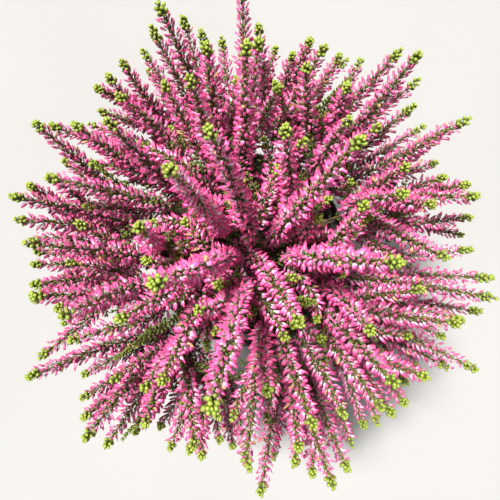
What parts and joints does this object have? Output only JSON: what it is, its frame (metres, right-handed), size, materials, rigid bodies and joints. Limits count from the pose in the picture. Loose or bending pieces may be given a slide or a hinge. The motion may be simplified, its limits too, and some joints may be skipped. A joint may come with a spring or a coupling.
{
  "type": "potted heather",
  "caption": "Bushy bud-flowering heather with crowded pink flower spikes and green shoot tips, growing in a plain round plastic nursery pot filled with peat.",
  "frame": {"origin": "middle of the underside of the pot's foot, on the surface it stands on", "axes": "+Z up along the pot's axis; +Y is up in the reference view from straight above, +X is to its right"},
  "size_m": [0.2475, 0.2445, 0.3034],
  "materials": {
    "pot_plastic": "dark grey matt nursery plastic",
    "peat": null,
    "bark": "dull brown thin woody stems",
    "floret_pink": null,
    "leaf_green": null
  },
  "bodies": {
    "root": {"pot": "pot_plastic", "soil": "peat", "woody_stems": "bark", "leader_01_spray": "floret_pink", "leader_02_spray": "floret_pink", "leader_03_spray": "floret_pink", "leader_04_spray": "floret_pink", "leader_05_spray": "floret_pink", "leader_06_spray": "floret_pink", "leader_07_spray": "floret_pink", "leader_08_spray": "floret_pink", "leader_09_spray": "floret_pink", "leader_10_spray": "floret_pink", "leader_11_spray": "floret_pink", "leader_12_spray": "floret_pink", "leader_13_spray": "floret_pink", "leader_14_spray": "floret_pink", "leader_15_spray": "floret_pink", "middle_01_spray": "floret_pink", "middle_02_spray": "floret_pink", "middle_03_spray": "floret_pink", "middle_04_spray": "floret_pink", "middle_05_spray": "floret_pink", "middle_06_spray": "floret_pink", "middle_07_spray": "floret_pink", "middle_08_spray": "floret_pink", "outer_01_spray": "floret_pink", "outer_02_spray": "floret_pink", "outer_03_spray": "floret_pink", "outer_04_spray": "floret_pink", "outer_05_spray": "floret_pink", "outer_06_spray": "floret_pink", "outer_07_spray": "floret_pink", "outer_08_spray": "floret_pink", "outer_09_spray": "floret_pink", "outer_10_spray": "floret_pink", "outer_11_spray": "floret_pink", "outer_12_spray": "floret_pink", "leader_01_leaf_tip": "leaf_green", "leader_02_leaf_tip": "leaf_green", "leader_03_leaf_tip": "leaf_green", "leader_04_leaf_tip": "leaf_green", "leader_05_leaf_tip": "leaf_green", "leader_06_leaf_tip": "leaf_green", "leader_07_leaf_tip": "leaf_green", "leader_08_leaf_tip": "leaf_green", "leader_09_leaf_tip": "leaf_green", "leader_10_leaf_tip": "leaf_green", "leader_11_leaf_tip": "leaf_green", "leader_12_leaf_tip": "leaf_green", "leader_13_leaf_tip": "leaf_green", "leader_14_leaf_tip": "leaf_green", "leader_15_leaf_tip": "leaf_green", "leafy_01_shoot": "leaf_green", "leafy_02_shoot": "leaf_green", "leafy_03_shoot": "leaf_green", "leafy_04_shoot": "leaf_green", "leafy_05_shoot": "leaf_green", "leafy_06_shoot": "leaf_green", "leafy_07_shoot": "leaf_green"}
  },
  "joints": []
}
